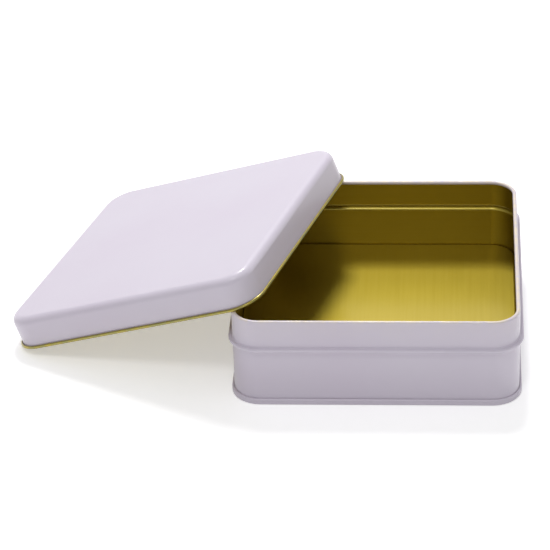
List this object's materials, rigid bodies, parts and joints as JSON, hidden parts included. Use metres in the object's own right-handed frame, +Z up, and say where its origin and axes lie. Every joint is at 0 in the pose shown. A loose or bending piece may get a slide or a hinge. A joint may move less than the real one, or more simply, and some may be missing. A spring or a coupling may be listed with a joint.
{
  "type": "candy tin",
  "caption": "Square slip-lid sheet-metal tin, painted outside and lacquered inside, with curled rim, stop bead, raised floor and folded seam; the lid is off and leans on the rim.",
  "frame": {"origin": "centre of the bottom seam's ring, on the ground under the middle of the base", "axes": "+Z up, +X to the base's right with the lid leaning on the left, +Y to the back"},
  "size_m": [0.2756, 0.1928, 0.0706],
  "materials": {
    "wall_paint": "satin paint outside, clear gold lacquer inside",
    "floor_lacquer": "glossy gold lacquer inside, satin paint on the seam",
    "lid_paint": "satin paint outside, clear gold lacquer inside and on the curl"
  },
  "bodies": {
    "root": {"body_wall": "wall_paint", "bottom_panel": "floor_lacquer", "lid": "lid_paint"}
  },
  "joints": []
}
